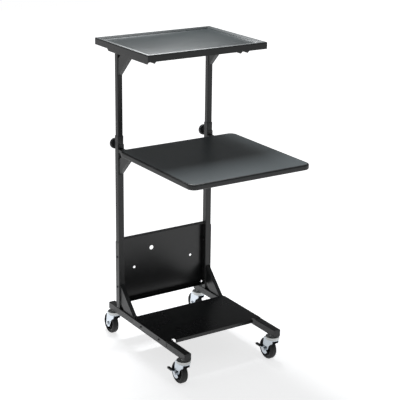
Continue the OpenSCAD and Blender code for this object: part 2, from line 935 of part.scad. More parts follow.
// Folded steel tray: a floor inside four mitred rim runs, with weld studs underneath
module tray() {
    w = tray_w - 2 * (tray_lip + tray_slope);
    d = tray_d - 2 * (tray_lip + tray_slope);
    color("#2e3132")
        translate([0, tray_y1 - tray_d / 2, tray_top]) {
            translate([0, 0, -tray_recess - tray_sheet / 2])
                cube([w, d, tray_sheet], center = true);
            for (a = [0, 180])
                rotate([0, 0, a]) {
                    rim_run(tray_d, tray_w);
                    rotate([0, 0, 90])
                        rim_run(tray_w, tray_d);
                }
        }
    color("#7b8081")
        both_sides()
            for (y = [tray_arm_y0 + tray_nut_inset, tray_arm_y1 - tray_nut_inset / 2])
                translate([0, y, tray_under - arm_sheet - nut_t - nut_land])
                    cylinder(d = bolt_d, h = arm_sheet + nut_t + nut_land + tray_sheet / 2);
}

module tray_nuts() {
    color("#8d9092")
        both_sides()
            for (y = [tray_arm_y0 + tray_nut_inset, tray_arm_y1 - tray_nut_inset / 2])
                translate([0, y, tray_under - arm_sheet - nut_t])
                    difference() {
                        cylinder(d = nut_w / cos(30), h = nut_t, $fn = 6);
                        translate([0, 0, -over])
                            cylinder(d = bolt_d + 2 * run_gap, h = nut_t + 2 * over);
                    }
}

// Moulded round knob with shallow flutes, facing +Y
module clamp_knob(side) {
    r = knob_d / 2;
    edge = knob_t / 4;
    translate([side * post_x, knob_y0, knob_z])
        rotate([-90, 0, 0])
            difference() {
                union() {
                    cylinder(d = knob_boss_d, h = knob_boss_t + over);
                    translate([0, 0, knob_boss_t])
                        rotate_extrude($fn = 96)
                            union() {
                                square([r - edge, knob_t - knob_boss_t]);
                                translate([0, edge])
                                    square([r, knob_t - knob_boss_t - 2 * edge]);
                                for (y = [edge, knob_t - knob_boss_t - edge])
                                    translate([r - edge, y])
                                        circle(r = edge);
                            }
                }
                for (k = [0 : knob_flutes - 1])
                    rotate([0, 0, k * 360 / knob_flutes])
                        translate([r + knob_flute_d / 2 - knob_flute_depth, 0, knob_boss_t - over])
                            cylinder(d = knob_flute_d, h = knob_t + 2 * over);
                translate([0, 0, -over])
                    cylinder(d = screw_d + 2 * run_gap, h = stud_in_knob + over);
            }
}

// Threaded stud moulded into the knob, its tip on the pressure pad
module knob_stud(side) {
    y0 = pad_y0 + pad_t;
    translate([side * post_x, y0, knob_z])
        rotate([-90, 0, 0])
            cylinder(d = screw_d, h = knob_y0 + stud_in_knob - y0);
}

// Nylon pad between the stud's tip and the upper tube
module pressure_pad(side) {
    translate([side * post_x, pad_y0, knob_z])
        rotate([-90, 0, 0])
            cylinder(d = pad_d, h = pad_t);
}

// Side of the swivel fork in (Y, Z), from the crown down around the axle's eye
module fork_side() {
    difference() {
        union() {
            translate([trail, wheel_r])
                circle(r = fork_eye_r);
            polygon([
                [-fork_front, crown_z + crown_t], [-fork_front, crown_z - fork_brim],
                [trail - fork_eye_r, wheel_r], [trail + fork_eye_r, wheel_r],
                [fork_back, crown_z + crown_t]
            ]);
        }
        translate([trail - fork_eye_r - fork_sweep, wheel_r - fork_sweep_drop])
            circle(r = fork_sweep - fork_sweep_drop / 4, $fn = 96);
    }
}

// Stamped swivel fork with its crown, lower race and two sides
module fork() {
    difference() {
        union() {
            intersection() {
                translate([0, 0, crown_z])
                    cylinder(d = race_d - 2, h = crown_t, $fn = 64);
                translate([0, (fork_back - fork_front) / 2, crown_z])
                    cube([race_d, fork_front + fork_back + race_d, 4 * crown_t], center = true);
            }
            translate([-fork_w / 2, -fork_front, crown_z])
                cube([fork_w, fork_front + fork_back, crown_t]);
            for (s = [-1, 1])
                translate([s * (fork_w - fork_t) / 2, 0, 0])
                    across(fork_t)
                        fork_side();
            translate([0, 0, crown_z + crown_t])
                difference() {
                    cylinder(r = ball_ring_r + race_w / 2, h = race_h, $fn = 64);
                    translate([0, 0, -over])
                        cylinder(r = ball_ring_r - race_w / 2, h = race_h + 2 * over, $fn = 64);
                }
        }
        translate([0, 0, crown_z - over])
            cylinder(d = king_d + 2 * run_gap, h = crown_t + 2 * over);
        translate([0, trail, wheel_r])
            rotate([0, 90, 0])
                cylinder(d = axle_d + run_gap, h = fork_w + 2 * over, center = true);
    }
}

// Bearing balls of the four swivels, between the fork's race and the stem's cup
module swivel_balls() {
    color("#b9c2cc")
        both_sides()
            for (y = [stem_y_front, stem_y_rear], k = [0 : ball_count - 1])
                translate([0, y, ball_z])
                    rotate([0, 0, k * 360 / ball_count])
                        translate([ball_ring_r, 0, 0])
                            sphere(d = ball_d, $fn = 16);
}

// Axle bolt with its nut and the sleeve that the wheel turns on
module axle(outer_gap) {
    head_x = fork_w / 2 + outer_gap;
    translate([0, trail, wheel_r])
        rotate([0, 90, 0]) {
            translate([0, 0, -head_x])
                cylinder(d = axle_d, h = head_x + fork_w / 2 + axle_head_t + nut_land);
            translate([0, 0, -head_x - axle_head_t])
                cylinder(d = axle_head_w / cos(30), h = axle_head_t, $fn = 6);
            translate([0, 0, fork_w / 2])
                difference() {
                    cylinder(d = axle_head_w / cos(30), h = axle_head_t, $fn = 6);
                    translate([0, 0, -over])
                        cylinder(d = axle_d + 2 * run_gap, h = axle_head_t + 2 * over);
                }
            translate([0, 0, -fork_gap / 2])
                difference() {
                    cylinder(d = sleeve_d, h = fork_gap);
                    translate([0, 0, -over])
                        cylinder(d = axle_d + run_gap, h = fork_gap + 2 * over);
                }
        }
}

// Wheel core with hub, web and rim
module wheel_core() {
    translate([0, trail, wheel_r])
        rotate([0, 90, 0])
            difference() {
                union() {
                    cylinder(d = hub_d, h = hub_w, center = true);
                    cylinder(d = rim_d - wheel_web, h = wheel_web, center = true);
                    difference() {
                        cylinder(d = rim_d, h = rim_w, center = true, $fn = 96);
                        cylinder(d = rim_d - wheel_web, h = rim_w + 2 * over, center = true, $fn = 96);
                    }
                }
                cylinder(d = sleeve_d + 2 * run_gap, h = hub_w + 2 * over, center = true);
            }
}

// Rubber tyre with a rounded tread
module tyre() {
    r = tread_round;
    bore = rim_d / 2 + run_gap;
    translate([0, trail, wheel_r])
        rotate([0, 90, 0])
            rotate_extrude($fn = 96)
                difference() {
                    union() {
                        translate([0, -wheel_w / 2])
                            square([wheel_r - r, wheel_w]);
                        translate([0, -wheel_w / 2 + r])
                            square([wheel_r, wheel_w - 2 * r]);
                        for (y = [-1, 1])
                            translate([wheel_r - r, y * (wheel_w / 2 - r)])
                                circle(r = r);
                    }
                    translate([0, -wheel_w])
                        square([bore, 2 * wheel_w]);
                }
}

// Flat tab of the brake lever that the pedal cover is pushed over
module lever_tab() {
    translate([-lever_x - lever_tab_w, 0, lever_rise - lever_t / 2])
        cube([lever_tab_w, lever_reach - pedal_wall, lever_t]);
}

// Stamped brake lever: a rounded plate on the axle with a tab folded out behind it
module brake_lever() {
    r = lever_plate_r;
    top = lever_rise + lever_t / 2;
    translate([0, trail, wheel_r])
        difference() {
            union() {
                translate([-lever_x - lever_t / 2, 0, 0])
                    across(lever_t)
                        union() {
                            circle(r = lever_hub_r);
                            intersection() {
                                circle(r = r, $fn = 64);
                                polygon([[-r, -r / 2], [0, top], [r, top], [r, -r], [-r, -r]]);
                            }
                            translate([0, top - lever_t])
                                square([lever_reach - pedal_wall, lever_t]);
                        }
                intersection() {
                    lever_tab();
                    translate([-2 * lever_x, lever_hub_r, -lever_hub_r])
                        cube([2 * lever_x, lever_reach, 2 * lever_hub_r]);
                }
            }
            rotate([0, 90, 0])
                cylinder(d = axle_d + 2 * run_gap, h = 4 * lever_x, center = true);
        }
}

// Moulded pedal cover on the lever's tab, with a rounded end
module brake_pedal() {
    x0 = -lever_x - lever_tab_w - pedal_wall;
    translate([0, trail, wheel_r])
        difference() {
            union() {
                translate([x0, pedal_y0, lever_rise - pedal_t / 2])
                    cube([pedal_w, lever_reach - pedal_w / 2 - pedal_y0, pedal_t]);
                translate([x0 + pedal_w / 2, lever_reach - pedal_w / 2, lever_rise - pedal_t / 2])
                    cylinder(d = pedal_w, h = pedal_t);
            }
            lever_tab();
        }
}

// Gusset below a tray arm
module tray_gusset_on(side) {
    translate([side * post_x, post_front, tray_arm_seat])
        hanging_gusset(tray_gusset, tray_notch, tray_notch_depth);
}

// Gusset below a laptop shelf arm
module shelf_gusset_on(side) {
    translate([side * post_x, post_front, shelf_arm_seat])
        hanging_gusset(shelf_gusset, shelf_notch, shelf_notch_depth);
}

// Places of the four casters, on their swivel axes
module at_caster(side, y) {
    translate([side * post_x, y, 0])
        children();
}

color("#3a3c3d") leg(-1);  // leg_left
color("#3a3c3d") leg(1);  // leg_right
leg_end_caps();
color("#3a3c3d") lower_post(-1);  // lower_post_left
color("#3a3c3d") lower_post(1);  // lower_post_right
color("#151617") post_collar(-1);  // post_collar_left
color("#151617") post_collar(1);  // post_collar_right
color("#3a3c3d") base_gusset(-1);  // base_gusset_left
color("#3a3c3d") base_gusset(1);  // base_gusset_right
back_panel();
panel_bolts();
panel_nuts();
bottom_shelf();
bottom_shelf_screws();
laptop_shelf();
shelf_edging();
color("#3a3c3d") shelf_arm(-1);  // shelf_arm_left
color("#3a3c3d") shelf_arm(1);  // shelf_arm_right
color("#3a3c3d") shelf_gusset_on(-1);  // shelf_gusset_left
color("#3a3c3d") shelf_gusset_on(1);  // shelf_gusset_right
shelf_screws();
knob_nuts();
stem_nuts();
caster_stems();
color("#3a3c3d") upper_post(-1);  // upper_post_left
color("#3a3c3d") upper_post(1);  // upper_post_right
glide_plugs();
color("#3a3c3d") tray_arm(-1);  // tray_arm_left
color("#3a3c3d") tray_arm(1);  // tray_arm_right
color("#3a3c3d") tray_gusset_on(-1);  // tray_gusset_left
color("#3a3c3d") tray_gusset_on(1);  // tray_gusset_right
tray();
tray_nuts();
color("#141516") clamp_knob(-1);  // clamp_knob_left
color("#141516") clamp_knob(1);  // clamp_knob_right
color("#8d9092") knob_stud(-1);  // knob_stud_left
color("#8d9092") knob_stud(1);  // knob_stud_right
color("#e4e2da") pressure_pad(-1);  // pressure_pad_left
color("#e4e2da") pressure_pad(1);  // pressure_pad_right
color("#b9c2cc") at_caster(-1, stem_y_front) fork();  // fork_front_left
color("#b9c2cc") at_caster(1, stem_y_front) fork();  // fork_front_right
color("#b9c2cc") at_caster(-1, stem_y_rear) fork();  // fork_rear_left
color("#b9c2cc") at_caster(1, stem_y_rear) fork();  // fork_rear_right
swivel_balls();
color("#a7adb2") at_caster(-1, stem_y_front) axle(brake_step);  // axle_front_left
color("#a7adb2") at_caster(1, stem_y_front) axle(brake_step);  // axle_front_right
color("#a7adb2") at_caster(-1, stem_y_rear) axle(0);  // axle_rear_left
color("#a7adb2") at_caster(1, stem_y_rear) axle(0);  // axle_rear_right
color("#1b1c1d") at_caster(-1, stem_y_front) wheel_core();  // wheel_front_left
color("#1b1c1d") at_caster(1, stem_y_front) wheel_core();  // wheel_front_right
color("#1b1c1d") at_caster(-1, stem_y_rear) wheel_core();  // wheel_rear_left
color("#1b1c1d") at_caster(1, stem_y_rear) wheel_core();  // wheel_rear_right
color("#0f1011") at_caster(-1, stem_y_front) tyre();  // tyre_front_left
color("#0f1011") at_caster(1, stem_y_front) tyre();  // tyre_front_right
color("#0f1011") at_caster(-1, stem_y_rear) tyre();  // tyre_rear_left
color("#0f1011") at_caster(1, stem_y_rear) tyre();  // tyre_rear_right
color("#b9c2cc") at_caster(-1, stem_y_front) brake_lever();  // brake_lever_left
color("#b9c2cc") at_caster(1, stem_y_front) brake_lever();  // brake_lever_right
color("#1a1b1c") at_caster(-1, stem_y_front) brake_pedal();  // brake_pedal_left
color("#1a1b1c") at_caster(1, stem_y_front) brake_pedal();  // brake_pedal_right
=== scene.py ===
import math

import bmesh
import bpy
from mathutils import Matrix, Vector


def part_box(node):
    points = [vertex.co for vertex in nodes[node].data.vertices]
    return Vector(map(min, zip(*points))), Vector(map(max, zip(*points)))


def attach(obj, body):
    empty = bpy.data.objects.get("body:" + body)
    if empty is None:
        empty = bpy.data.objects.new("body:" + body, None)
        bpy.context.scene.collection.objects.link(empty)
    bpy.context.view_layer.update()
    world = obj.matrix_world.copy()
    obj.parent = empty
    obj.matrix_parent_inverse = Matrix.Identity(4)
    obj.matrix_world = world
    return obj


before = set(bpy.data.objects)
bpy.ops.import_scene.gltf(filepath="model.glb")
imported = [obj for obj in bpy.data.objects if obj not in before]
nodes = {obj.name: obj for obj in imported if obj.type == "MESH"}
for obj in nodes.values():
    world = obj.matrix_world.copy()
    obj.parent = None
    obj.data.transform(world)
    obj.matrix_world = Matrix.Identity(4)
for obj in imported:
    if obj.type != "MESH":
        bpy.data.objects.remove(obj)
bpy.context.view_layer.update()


# The camera stands in front of the cart and to its left, above the height of the tray.
# It was placed by matching the cart's long edges and its wheels with the photograph.
eye = Vector((-2.08495, -3.22509, 1.82820))
heading = math.radians(-33.017)
tilt_down = math.radians(18.311)
roll = math.radians(0.732)
lens_mm = 107.31
sensor_mm = 36.0
farthest_seen = 60.0

camera_data = bpy.data.cameras.new("photo_camera")
camera_data.lens = lens_mm
camera_data.sensor_width = sensor_mm
camera_data.clip_end = farthest_seen
camera = bpy.data.objects.new("photo_camera", camera_data)
bpy.context.scene.collection.objects.link(camera)
camera.matrix_world = (
    Matrix.Translation(eye)
    @ Matrix.Rotation(heading, 4, "Z")
    @ Matrix.Rotation(math.pi / 2 - tilt_down, 4, "X")
    @ Matrix.Rotation(roll, 4, "Z")
)
bpy.context.scene.camera = camera
bpy.context.scene.view_settings.view_transform = "Standard"


# Studio floor: a wide, pale, matt floor that takes the cart's shadow and is no part of the cart.
# It glows for the camera, through glass and in mirrors. For the camera and through glass the
# glow grows with the distance from the cart, up to white.
class Wire:
    """One output socket of a shader node, with arithmetic that adds Math nodes."""

    def __init__(self, tree, socket):
        self.tree = tree
        self.socket = socket

    @staticmethod
    def make(tree, kind, settings, inputs, output=0):
        """The wire from one output of a new node, with its settings and its values or links."""
        node = tree.nodes.new(kind)
        for name, value in settings.items():
            setattr(node, name, value)
        for name, value in inputs.items():
            feed(node.inputs[name], value)
        return Wire(tree, node.outputs[output])

    def maths(self, operation, first, second):
        settings = {"operation": operation}
        return Wire.make(self.tree, "ShaderNodeMath", settings, {0: first, 1: second})

    def __add__(self, other):
        return self.maths("ADD", self, other)

    def __radd__(self, other):
        return self.maths("ADD", other, self)

    def __sub__(self, other):
        return self.maths("SUBTRACT", self, other)

    def __rsub__(self, other):
        return self.maths("SUBTRACT", other, self)

    def __mul__(self, other):
        return self.maths("MULTIPLY", self, other)

    def __rmul__(self, other):
        return self.maths("MULTIPLY", other, self)

    def between(self, low, high):
        """A number from low to high, as this wire goes from 0 to 1."""
        return self * (high - low) + low

    def smooth(self, low, high):
        """0 below low, 1 above high, and a soft ramp between them."""
        return Wire.make(
            self.tree,
            "ShaderNodeMapRange",
            {"interpolation_type": "SMOOTHSTEP", "clamp": True},
            {"Value": self, "From Min": low, "From Max": high, "To Min": 0.0, "To Max": 1.0},
        )

    def blend(self, dark, light):
        """A colour from dark to light, as this wire goes from 0 to 1."""
        return Wire.make(
            self.tree,
            "ShaderNodeMix",
            {"data_type": "RGBA", "clamp_factor": True},
            {"Factor": self, 6: (*dark, 1), 7: (*light, 1)},
            output=2,
        )

    def part(self, letter):
        """The X, Y or Z of this wire as a vector."""
        return Wire.make(self.tree, "ShaderNodeSeparateXYZ", {}, {0: self}, output=letter)

    def noise(self, scale, detail=2.0):
        """Fractal noise over this wire as the place."""
        inputs = {"Vector": self, "Scale": scale, "Detail": detail, "Roughness": 0.5}
        return Wire.make(self.tree, "ShaderNodeTexNoise", {"noise_dimensions": "3D"}, inputs)

    def bump(self, strength, distance):
        """A normal raised by this wire as the height."""
        inputs = {"Height": self, "Strength": strength, "Distance": distance}
        return Wire.make(self.tree, "ShaderNodeBump", {}, inputs)


def feed(socket, value):
    """Gives a socket a plain value, or a link from a wire."""
    if isinstance(value, Wire):
        value.tree.links.new(value.socket, socket)
    else:
        socket.default_value = value


def rays(tree, kind):
    """1 for rays of one kind and 0 for the others."""
    return Wire.make(tree, "ShaderNodeLightPath", {}, {}, output="Is " + kind + " Ray")


class Material:
    """A principled material whose surface is described by wires."""

    def __init__(self, name):
        self.data = bpy.data.materials.new(name)
        self.data.use_nodes = True
        self.tree = self.data.node_tree
        self.surface = next(n for n in self.tree.nodes if n.type == "BSDF_PRINCIPLED")
        self.place = Wire.make(self.tree, "ShaderNodeTexCoord", {}, {}, output="Object")

    def set(self, **inputs):
        """Sets inputs of the surface, with _ for each space in an input's name."""
        for name, value in inputs.items():
            feed(self.surface.inputs[name.replace("_", " ")], value)

    def on(self, *names):
        """Puts this material on CAD nodes."""
        for name in names:
            for slot in nodes[name].material_slots:
                slot.material = self.data


floor_reach = 7.0
near_squared, far_squared = 0.3, 3.2
near_glow, far_glow = 0.70, 1.04
mirrored_glow = 0.72

floor_paint = Material("studio_floor")
aside = floor_paint.place.part("X")
ahead = floor_paint.place.part("Y")
away = (aside * aside + ahead * ahead).smooth(near_squared, far_squared)
seen = rays(floor_paint.tree, "Camera") + rays(floor_paint.tree, "Transmission")
seen_glow = seen * away.between(near_glow, far_glow)
floor_paint.set(
    Base_Color=floor_paint.place.noise(scale=900.0).blend((0.78, 0.78, 0.79), (0.82, 0.82, 0.83)),
    Roughness=0.9,
    Specular_IOR_Level=0.1,
    Emission_Color=seen_glow + rays(floor_paint.tree, "Glossy") * mirrored_glow,
    Emission_Strength=1.0,
)

floor_mesh = bpy.data.meshes.new("studio_floor")
floor_corners = [
    (-floor_reach, -floor_reach, 0), (floor_reach, -floor_reach, 0),
    (floor_reach, floor_reach, 0), (-floor_reach, floor_reach, 0),
]
floor_mesh.from_pydata(floor_corners, [], [(0, 1, 2, 3)])
floor_mesh.materials.append(floor_paint.data)
floor = bpy.data.objects.new("studio_floor", floor_mesh)
bpy.context.scene.collection.objects.link(floor)


# Surroundings: the camera, and what looks through glass, see a white backdrop.
# Mirrors see it as a band along the horizon, with a darker room above. All other light from
# the surroundings is the room's even, slightly cool light.
room_colour = (0.97, 0.985, 1)
room_strength, mirrored_room_strength = 0.24, 0.1
band_top, band_end = 0.03, 0.12

world = bpy.data.worlds.new("studio")
world.use_nodes = True
bpy.context.scene.world = world
sky_tree = world.node_tree


def sky(colour, strength):
    inputs = {"Color": (*colour, 1), "Strength": strength}
    return Wire.make(sky_tree, "ShaderNodeBackground", {}, inputs)


def shader_mix(factor, first, second):
    return Wire.make(sky_tree, "ShaderNodeMixShader", {}, {0: factor, 1: first, 2: second})


direction = Wire.make(sky_tree, "ShaderNodeTexCoord", {}, {}, output="Generated")
white_backdrop = sky((1, 1, 1), 1.0)
room = sky(room_colour, room_strength)
dim_room = sky(room_colour, mirrored_room_strength)
horizon_band = 1 - direction.part("Z").smooth(band_top, band_end)
mirrored = shader_mix(horizon_band, dim_room, white_backdrop)
surroundings = shader_mix(rays(sky_tree, "Glossy"), room, mirrored)
seen = rays(sky_tree, "Camera") + rays(sky_tree, "Transmission")
whole_sky = shader_mix(seen, surroundings, white_backdrop)
sky_end = next(n for n in sky_tree.nodes if n.type == "OUTPUT_WORLD")
feed(sky_end.inputs["Surface"], whole_sky)


# Top light: one large softbox that hangs close above the posts and is aimed down and forward.
# It lights the tray from behind, and the tray shades the back of the laptop shelf.
light_place = Vector((0.05, 0.28, 1.62))
light_aim = Vector((0.0, -0.5, 0.8))

lamp_data = bpy.data.lights.new("top_light", "AREA")
lamp_data.shape = "RECTANGLE"
lamp_data.size, lamp_data.size_y = 0.62, 0.55
lamp_data.energy = 31
lamp_data.color = (0.97, 0.99, 1)
lamp = bpy.data.objects.new("top_light", lamp_data)
lamp.visible_camera = False
bpy.context.scene.collection.objects.link(lamp)
lamp_turn = (light_aim - light_place).to_track_quat("-Z", "Y").to_matrix().to_4x4()
lamp.matrix_world = Matrix.Translation(light_place) @ lamp_turn


# Welded frame: legs, posts, arms and gussets of square steel tube and folded steel sheet.
# It is sprayed with satin black powder, which sets with a fine orange peel.
frame_paint = Material("frame_powder_coat")
peel = frame_paint.place.noise(scale=1400.0, detail=3.0)
patches = frame_paint.place.noise(scale=9.0)
frame_paint.set(
    Base_Color=patches.blend((0.018, 0.0188, 0.0192), (0.026, 0.0268, 0.0272)),
    Roughness=patches.between(0.36, 0.46),
    Normal=peel.bump(strength=0.25, distance=0.0003),
)
frame_paint.on(
    "leg_left", "leg_right", "lower_post_left", "lower_post_right",
    "base_gusset_left", "base_gusset_right", "shelf_arm_left", "shelf_arm_right",
    "shelf_gusset_left", "shelf_gusset_right", "knob_nuts",
    "upper_post_left", "upper_post_right", "tray_arm_left", "tray_arm_right",
    "tray_gusset_left", "tray_gusset_right",
)


# Weld beads where the posts, gussets and arms meet, under the same black powder as the frame.
# Each run is laid by hand in overlapping drops, so its width ripples along its length.
bead_radius = 0.0015
bead_pitch = 0.0026
bead_ripple = 0.16
bead_tip = 0.25
bead_sides = 8
bead_least_steps = 8
steps_per_ripple = 4
crease_angle = math.radians(40)

stitch = 0.016
foot_stitches = (0.12, 0.62)
tray_stitches_from, tray_stitches_to = 2 * stitch, 3 * stitch


def add_piece(name, build, material, body):
    """A mesh object from one building function, with its material, on a CAD body."""
    shape = bmesh.new()
    build(shape)
    bmesh.ops.recalc_face_normals(shape, faces=shape.faces)
    mesh = bpy.data.meshes.new(name)
    shape.to_mesh(mesh)
    shape.free()
    mesh.materials.append(material.data)
    mesh.polygons.foreach_set("use_smooth", [True] * len(mesh.polygons))
    mesh.set_sharp_from_angle(angle=crease_angle)
    piece = bpy.data.objects.new(name, mesh)
    bpy.context.scene.collection.objects.link(piece)
    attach(piece, body)


def corners(node):
    """The lowest and highest corners of a CAD node."""
    low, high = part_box(node)
    return Vector(low), Vector(high)


def circle(shape, centre, first, second, radius, sides=bead_sides):
    """New vertices round a centre, from the first of two directions towards the second."""
    points = []
    for k in range(sides):
        turn = 2 * math.pi * k / sides
        out = first * math.cos(turn) + second * math.sin(turn)
        points.append(shape.verts.new(centre + out * radius))
    return points


def join_rings(shape, rings, closed=False):
    """Quads between neighbouring rings of vertices, with end faces unless the rings close."""
    pairs = list(zip(rings, rings[1:])) + ([(rings[-1], rings[0])] if closed else [])
    for first, second in pairs:
        for i in range(len(first)):
            j = (i + 1) % len(first)
            shape.faces.new((first[i], first[j], second[j], second[i]))
    if not closed:
        shape.faces.new(rings[0])
        shape.faces.new(rings[-1])


def bead(shape, start, end, radius=bead_radius, pitch=bead_pitch, ripple=bead_ripple):
    """One straight bead with rippled sides and round ends."""
    start, end = Vector(start), Vector(end)
    along = (end - start).normalized()
    side = along.orthogonal().normalized()
    length = (end - start).length
    steps = max(bead_least_steps, round(steps_per_ripple * length / pitch))
    rings = []
    for i in range(steps + 1):
        at = length * i / steps
        from_end = min(at, length - at)
        width = radius * (1 - ripple + ripple * abs(math.sin(math.pi * at / pitch)))
        if from_end < radius:
            round_end = math.sqrt(max(0.0, 1 - (1 - from_end / radius) ** 2))
            width *= max(bead_tip, round_end)
        rings.append(circle(shape, start + along * at, side, along.cross(side), width))
    join_rings(shape, rings)


def stitches(shape, x, y, low, high):
    """Three short upright beads, at both ends and in the middle of a gusset's edge."""
    for z in (low, (low + high - stitch) / 2, high - stitch):
        bead(shape, (x, y, z), (x, y, z + stitch))


def base_welds(side):
    """Beads round a post's foot, and stitches along both edges of its gusset."""
    def build(shape):
        low, high = corners("lower_post_" + side)
        z = low.z
        bead(shape, (low.x, low.y, z), (low.x, high.y, z))
        bead(shape, (low.x, high.y, z), (high.x, high.y, z))
        bead(shape, (high.x, high.y, z), (high.x, low.y, z))
        gusset_low, gusset_high = corners("base_gusset_" + side)
        reach = gusset_high.y - gusset_low.y
        for x in (gusset_low.x, gusset_high.x):
            for share in foot_stitches:
                y = gusset_low.y + share * reach
                bead(shape, (x, y, z), (x, y + stitch, z))
            stitches(shape, x, gusset_high.y, z + stitch, gusset_high.z - bead_radius)
    return build


def shelf_welds(side):
    """Stitches up a shelf gusset, and a bead on each side of the arm's upturned end."""
    def build(shape):
        low, high = corners("shelf_gusset_" + side)
        for x in (low.x, high.x):
            stitches(shape, x, high.y, low.z + stitch, high.z - stitch)
        arm_low, arm_high = corners("shelf_arm_" + side)
        for x in (arm_low.x, arm_high.x):
            bead(shape, (x, arm_high.y, arm_low.z), (x, arm_high.y, arm_high.z))
    return build


def tray_welds(side):
    """Stitches up both edges of a tray gusset."""
    def build(shape):
        low, high = corners("tray_gusset_" + side)
        for x in (low.x, high.x):
            stitches(shape, x, high.y, low.z + tray_stitches_from, high.z - tray_stitches_to)
    return build


for side in ("left", "right"):
    add_piece("base_welds_" + side, base_welds(side), frame_paint, "base_frame")
    add_piece("shelf_welds_" + side, shelf_welds(side), frame_paint, "base_frame")
    add_piece("tray_welds_" + side, tray_welds(side), frame_paint, "upper_frame")


# Back panel and bottom shelf: steel sheet folded at the edges, with a glossier black powder coat.
# The panel is bolted through both lower posts, and the shelf is screwed to the legs' sides.
panel_paint = Material("panel_powder_coat")
panel_peel = panel_paint.place.noise(scale=700.0)
panel_patches = panel_paint.place.noise(scale=6.0)
panel_paint.set(
    Base_Color=panel_patches.blend((0.007, 0.0075, 0.008), (0.010, 0.0105, 0.011)),
    Roughness=panel_patches.between(0.24, 0.32),
    Normal=panel_peel.bump(strength=0.12, distance=0.0003),
)
panel_paint.on("back_panel", "bottom_shelf")


# Tray: one folded steel sheet in smooth satin black, held on its arms by four nuts.
# The coat is rougher along the top of the rim. Each corner is mitred, and a ground weld runs
# down the sloping inside of the rim, from the lip to the tray's floor.
rim_from_z, rim_to_z = 1.0812, 1.0832
rim_width = 0.009
rim_slope_run = 0.005
rim_slope_drop = 0.0066
seam_radius = 0.0006

tray_paint = Material("tray_powder_coat")
tray_peel = tray_paint.place.noise(scale=1100.0, detail=3.0)
tray_patches = tray_paint.place.noise(scale=7.0)
on_rim = tray_paint.place.part("Z").smooth(rim_from_z, rim_to_z)
floor_rough, patch_rough, rim_rough = 0.25, 0.08, 0.26
tray_paint.set(
    Base_Color=tray_patches.blend((0.008, 0.0100, 0.0105), (0.012, 0.0145, 0.0152)),
    Roughness=tray_patches * patch_rough + on_rim * rim_rough + floor_rough,
    Normal=tray_peel.bump(strength=0.03, distance=0.0001),
    Specular_IOR_Level=0.38,
)
tray_paint.on("tray")


def corner_seams(shape):
    low, high = corners("tray")
    for x, inward in ((low.x, 1), (high.x, -1)):
        for y, back in ((low.y, 1), (high.y, -1)):
            lip = Vector((inward * rim_width, back * rim_width, -seam_radius))
            top = Vector((x, y, high.z)) + lip
            foot = top + Vector((inward * rim_slope_run, back * rim_slope_run, -rim_slope_drop))
            bead(shape, top, foot, seam_radius)


add_piece("tray_corner_seams", corner_seams, tray_paint, "upper_frame")


# Laptop shelf: a particle board with dark melamine on both faces, screwed to its two arms.
# The melamine has a fine pearl texture that shows as soft speckle.
board = Material("board_melamine")
pearl = board.place.noise(scale=1600.0)
clouds = board.place.noise(scale=5.0)
pearl_share, cloud_share = 0.4, 0.6
shade = pearl * pearl_share + clouds * cloud_share
board.set(
    Base_Color=shade.blend((0.068, 0.078, 0.082), (0.094, 0.107, 0.112)),
    Roughness=pearl.between(0.31, 0.41),
    Normal=pearl.bump(strength=0.2, distance=0.0002),
)
board.on("laptop_shelf")


# Edging: a black plastic moulding that runs round the board.
# A barb along its back is pressed into a groove in the board's edge.
edging = Material("edging_plastic")
edging_grain = edging.place.noise(scale=2200.0)
edging.set(
    Base_Color=edging_grain.blend((0.016, 0.017, 0.018), (0.024, 0.025, 0.026)),
    Roughness=edging_grain.between(0.38, 0.48),
    Normal=edging_grain.bump(strength=0.15, distance=0.0002),
)
edging.on("shelf_edging")


# Collars of the lower posts, caps of the legs and glides of the upper posts: black plastic.
# They are moulded with a fine spark grain and pressed into the tubes. Each end cap has a
# raised square border on its face.
cap_border_inset = 0.0035
cap_border_radius = 0.0005

plastic = Material("moulded_plastic")
spark = plastic.place.noise(scale=2600.0)
plastic.set(
    Base_Color=spark.blend((0.013, 0.014, 0.015), (0.022, 0.023, 0.024)),
    Roughness=spark.between(0.42, 0.54),
    Normal=spark.bump(strength=0.2, distance=0.0002),
)
plastic.on("post_collar_left", "post_collar_right", "leg_end_caps", "glide_plugs")


def cap_borders(shape):
    cap_low, cap_high = corners("leg_end_caps")
    for side in ("left", "right"):
        low, high = corners("leg_" + side)
        x0, x1 = low.x + cap_border_inset, high.x - cap_border_inset
        z0, z1 = cap_low.z + cap_border_inset, cap_high.z - cap_border_inset
        for y in (cap_low.y, cap_high.y):
            loop = [(x0, y, z0), (x1, y, z0), (x1, y, z1), (x0, y, z1)]
            for first, second in zip(loop, loop[1:] + loop[:1]):
                bead(shape, first, second, cap_border_radius, ripple=0.0)


add_piece("end_cap_borders", cap_borders, plastic, "base_frame")


# Clamp knobs: the same black plastic, moulded round a stud that screws into the lower post.
# A raised ring and a low domed cap are moulded on each knob's outer face.
knob_ring_radius, knob_ring_thick = 0.0118, 0.0006
knob_cap_radius, knob_cap_rise = 0.0072, 0.0009
knob_cap_sink = 0.00015
knob_cap_closing = 0.96
knob_cap_steps = 6
knob_cap_sides = 48
ring_steps = 96
ring_sides = 8
axes = {"X": Vector((1, 0, 0)), "Y": Vector((0, 1, 0)), "Z": Vector((0, 0, 1))}

plastic.on("clamp_knob_left", "clamp_knob_right")


def ring(shape, centre, axis, radius, thick):
    """A round ring about an axis along X or Y."""
    first, second = {"X": (axes["Y"], axes["Z"]), "Y": (axes["Z"], axes["X"])}[axis]
    rings = []
    for i in range(ring_steps):
        turn = 2 * math.pi * i / ring_steps
        out = first * math.cos(turn) + second * math.sin(turn)
        rings.append(circle(shape, centre + out * radius, out, axes[axis], thick, ring_sides))
    join_rings(shape, rings, closed=True)


